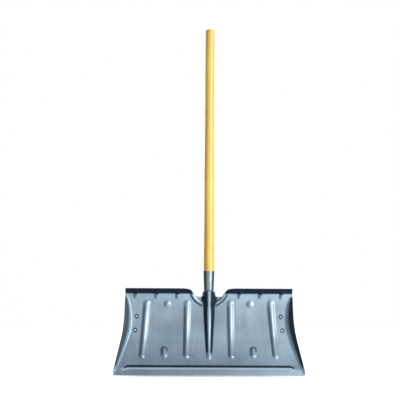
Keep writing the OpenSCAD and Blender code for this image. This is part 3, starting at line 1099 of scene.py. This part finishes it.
def lacquered_steel(name, tone, pale, dark, metallic, rough, chip=0.1, dents=0.25):
    """Dipped lacquer over steel in a tone, with a paler tone for wear and a darker one for painted shade and
    lacquer runs.
    """
    material, tree, shader, place = start_material(name)
    colour, drift, marks = lacquer_colour(tree, place, tone, pale, dark, chip)
    shade_and_runs = amount_of(tree, "painted_shade_and_runs")
    # painted shade, and the lacquer runs, darken the colour and take away the metal shine
    tree.links.new(mixed(tree, shade_and_runs, colour, dark), shader.inputs["Base Color"])
    for label, clean, in_shade in (("Metallic", metallic, 0.0), ("Specular IOR Level", 0.5, 0.06),
                                ("Coat Weight", 0.18, 0.0)):
        tree.links.new(between(tree, shade_and_runs, 0.0, 1.0, clean, in_shade), shader.inputs[label])
    gloss = combine(tree, "ADD", between(tree, drift["Clouds"], 0.3, 0.75, rough - 0.05, rough + 0.09),
                 times(tree, marks["Scratches"], 0.06))
    tree.links.new(gloss, shader.inputs["Roughness"])
    waves = bump(tree, noise(tree, place, 22.0, 3.0), dents, 0.0012)
    tree.links.new(bump(tree, drift["Grit"], 0.12, 0.0002, waves), shader.inputs["Normal"])
    shader.inputs["Coat Roughness"].default_value = 0.25
    return material


# %% The four finishes
blade_lacquer = lacquered_steel("blade_lacquer", metallic=0.5, rough=0.4, tone=(0.285, 0.385, 0.475, 1),
                                pale=(0.47, 0.575, 0.66, 1), dark=(0.008, 0.018, 0.03, 1))
socket_lacquer = lacquered_steel("socket_lacquer", metallic=0.7, rough=0.34, tone=(0.28, 0.36, 0.41, 1),
                                 pale=(0.42, 0.48, 0.52, 1), dark=(0.01, 0.018, 0.022, 1), chip=0.14)
weld_lacquer = lacquered_steel("weld_lacquer", metallic=0.5, rough=0.42, tone=(0.035, 0.045, 0.06, 1),
                               pale=(0.16, 0.18, 0.2, 1), dark=(0.012, 0.016, 0.022, 1), chip=0.2, dents=0.8)
nail_metal = lacquered_steel("nail_metal", metallic=0.85, rough=0.33, tone=(0.42, 0.45, 0.47, 1),
                             pale=(0.7, 0.72, 0.74, 1), dark=(0.12, 0.13, 0.15, 1), chip=0.2)
coat(blade, blade_lacquer)
coat(socket, socket_lacquer)
coat(nail, nail_metal)
for bead in welds:
    coat(bead, weld_lacquer)
print("lacquered pieces:", 3 + len(welds))

# %% [markdown]
# ## Varnished wood
#
# The pole is a pale straight-grained wood under amber varnish. Grain runs the
# length of the pole, so the texture is squeezed across it and stretched along it.
# A few dark flecks and soft broad bands keep it from looking printed. Seen at a
# glancing angle the colour is darker, a painted shade that rounds the pole.

# %% Varnished wood


EARLY_WOOD, LATE_WOOD = (0.72, 0.45, 0.085, 1), (0.54, 0.3, 0.035, 1)
FIBRE, PALE_BAND, FLECK = (0.44, 0.22, 0.025, 1), (0.8, 0.52, 0.14, 1), (0.2, 0.085, 0.02, 1)
# painted shade for the pole's sides, seen at a glancing angle
PAINTED_EDGE_SHADE = (0.4, 0.22, 0.012, 1)


def bent_grain(tree, place):
    """The place, pushed a little sideways by slow noise, so that no grain line is quite straight."""
    slow = node(tree, "ShaderNodeTexNoise", None, Vector=stretched(tree, place, (8.0, 8.0, 1.6)),
                Scale=1.0, Detail=2.0)
    push = stretched(tree, slow.outputs["Color"], (0.004, 0.004, 0.0))
    return node(tree, "ShaderNodeVectorMath", {"operation": "ADD"}, i0=place, i1=push).outputs[0]


def flecks(tree, place):
    """Short dark flecks, in a few places only."""
    cells = node(tree, "ShaderNodeTexVoronoi", None, Vector=stretched(tree, place, (60.0, 60.0, 16.0)),
                 Scale=1.0)
    rare = between(tree, noise(tree, place, 13.0, 1.0), 0.6, 0.68)
    return times(tree, between(tree, cells.outputs["Distance"], 0.16, 0.07, 0.0, 0.8), rare)


def varnished_wood(name):
    material, tree, shader, place = start_material(name)
    bent = bent_grain(tree, place)
    fibre = noise(tree, stretched(tree, bent, (420.0, 420.0, 7.0)), 1.0, 4.0, 0.6)
    bands = noise(tree, stretched(tree, bent, (90.0, 90.0, 1.4)), 1.0, 3.0, 0.5)
    glancing = node(tree, "ShaderNodeLayerWeight", None, Blend=0.5).outputs["Facing"]
    colour = mixed(tree, between(tree, bands, 0.36, 0.66), LATE_WOOD, EARLY_WOOD)
    layers = [(between(tree, fibre, 0.5, 0.72, 0.0, 0.4), FIBRE),
              (between(tree, noise(tree, place, 5.5, 2.0), 0.45, 0.7, 0.0, 0.3), PALE_BAND),
              # painted shade on the sides of the pole
              (between(tree, glancing, 0.25, 0.95, 0.0, 0.85), PAINTED_EDGE_SHADE),
              (flecks(tree, place), FLECK)]
    for amount, over in layers:
        colour = mixed(tree, amount, colour, over)
    tree.links.new(colour, shader.inputs["Base Color"])
    tree.links.new(between(tree, fibre, 0.35, 0.7, 0.34, 0.47), shader.inputs["Roughness"])
    tree.links.new(bump(tree, fibre, 0.12, 0.0003), shader.inputs["Normal"])
    shader.inputs["Coat Weight"].default_value = 0.2
    shader.inputs["Coat Roughness"].default_value = 0.3
    return material


coat(pole, varnished_wood("varnished_pole_wood"))
print("wood:", pole.data.materials[0].name)

# %% [markdown]
# ## Floor, light and camera
#
# The shovel stands upright on its cutting edge on a plain pale floor, which is a
# grid of a few squares that reaches well past the frame.

# %% Floor
FLOOR_REACH = 4.0
FLOOR_SQUARES = 12
floor_mesh = bpy.data.meshes.new("floor")
floor_form = bmesh.new()
bmesh.ops.create_grid(floor_form, x_segments=FLOOR_SQUARES, y_segments=FLOOR_SQUARES, size=FLOOR_REACH)
floor_form.to_mesh(floor_mesh)
floor_form.free()
floor = bpy.data.objects.new("floor", floor_mesh)
bpy.context.scene.collection.objects.link(floor)
paper, paper_tree, paper_shader, paper_place = start_material("pale_paper")
mottle = noise(paper_tree, paper_place, 3.0)
paper_tone = mixed(paper_tree, mottle, (0.88, 0.88, 0.88, 1), (0.92, 0.92, 0.92, 1))
paper_tree.links.new(paper_tone, paper_shader.inputs["Base Color"])
paper_shader.inputs["Roughness"].default_value = 0.9
coat(floor, paper)
print("floor:", 2 * FLOOR_REACH, "m square")

# %% [markdown]
# Satin metal is drawn by what it reflects, and its bends only show where light
# gives way to dark. So the room is not one even tone. It is bright low down in
# front, fading upwards and towards the left, and half bright behind the shovel.
# Everywhere else it is dark, and the flange, the cheeks and the sides of the ribs
# reflect that. What the camera sees past the shovel is plain white.

# %% Room
world = bpy.data.worlds.new("room")
bpy.context.scene.world = world
world.use_nodes = True
room = world.node_tree
way = room.nodes.new("ShaderNodeSeparateXYZ")
room.links.new(room.nodes.new("ShaderNodeTexCoord").outputs["Generated"], way.inputs[0])
away = between(room, way.outputs["Y"], 0.45, 0.85, shape="SMOOTHSTEP")
ahead = between(room, way.outputs["Y"], -0.35, -0.95, shape="SMOOTHSTEP")
rightward = between(room, way.outputs["X"], -0.55, 0.3, to_low=0.18, shape="SMOOTHSTEP")
low_down = between(room, way.outputs["Z"], 0.75, 0.1, to_low=0.6, shape="SMOOTHSTEP")
in_front = times(room, times(room, times(room, ahead, low_down), rightward), 0.62)
bright = combine(room, "MAXIMUM", times(room, away, 0.5), in_front)
tone = mixed(room, bright, (0.08, 0.09, 0.11, 1), (1.0, 1.0, 1.0, 1))
seen = room.nodes.new("ShaderNodeLightPath").outputs["Is Camera Ray"]
tone = mixed(room, seen, tone, (1.0, 1.0, 1.0, 1))
room.links.new(tone, room.nodes["Background"].inputs["Color"])
room.nodes["Background"].inputs["Strength"].default_value = 1.0
print("room:", len(room.nodes), "nodes")

# %% [markdown]
# Four soft lights add to the room. One hangs far back and only lights the floor
# behind. The key stands low on the right and rakes across the blade, which shades
# the left of each rib. A weak fill opens the left side, and one from above
# catches the tops of the ribs.

# %% Lights


def soft_light(name, place, aim, size, power):
    """A rectangular soft white light at a place, facing a point."""
    light = bpy.data.lights.new(name, "AREA")
    light.shape, light.size, light.size_y = "RECTANGLE", *size
    light.energy = power
    lamp = bpy.data.objects.new(name, light)
    lamp.location = place
    lamp.rotation_euler = (Vector(aim) - Vector(place)).to_track_quat("-Z", "Y").to_euler()
    bpy.context.scene.collection.objects.link(lamp)


blade_middle = (0, 0.05, 0.2)
soft_light("floor_light", (0, 2.3, 3.2), (0, 1.9, 0), (5.0, 2.2), 300)
soft_light("key", (1.5, -1.35, 0.8), blade_middle, (1.0, 1.2), 56)
soft_light("fill", (-1.6, -2.8, 0.9), blade_middle, (1.4, 1.4), 2)
soft_light("over", (0.5, -1.5, 2.3), blade_middle, (1.8, 1.2), 9)

# %% [markdown]
# The camera stands far off with a long lens, so that the handle hardly narrows
# with height. It stands lower than the middle of the shovel and is tilted up.

# %% Camera
VIEW_TURN = radians(-1)  # a touch from the left
VIEW_FAR = 6.0
CAMERA_ROLL = radians(0.3)
EYE_HIGH = 0.386  # low, and tilted up a little
FRAME_MIDDLE = 0.5865
FRAME_ASIDE = -0.0315
FRAME_HEIGHT = 1.354  # metres of the scene that fill the frame's height at the shovel

SENSOR = 36

camera_data = bpy.data.cameras.new("camera")
camera_data.sensor_width = SENSOR
camera_data.lens = SENSOR * VIEW_FAR / FRAME_HEIGHT
camera = bpy.data.objects.new("camera", camera_data)
aim = Vector((FRAME_ASIDE, AXIS_Y * MM, FRAME_MIDDLE))
camera.location = aim + VIEW_FAR * Vector((sin(VIEW_TURN), -cos(VIEW_TURN), 0))
camera.location.z = EYE_HIGH
camera.rotation_euler = (aim - camera.location).to_track_quat("-Z", "Y").to_euler()
camera.rotation_euler.rotate_axis("Z", CAMERA_ROLL)
bpy.context.scene.collection.objects.link(camera)
bpy.context.scene.camera = camera
bpy.context.scene.view_settings.view_transform = "Standard"
print("camera at", [round(v, 2) for v in camera.location], "lens", round(camera_data.lens, 1), "mm")
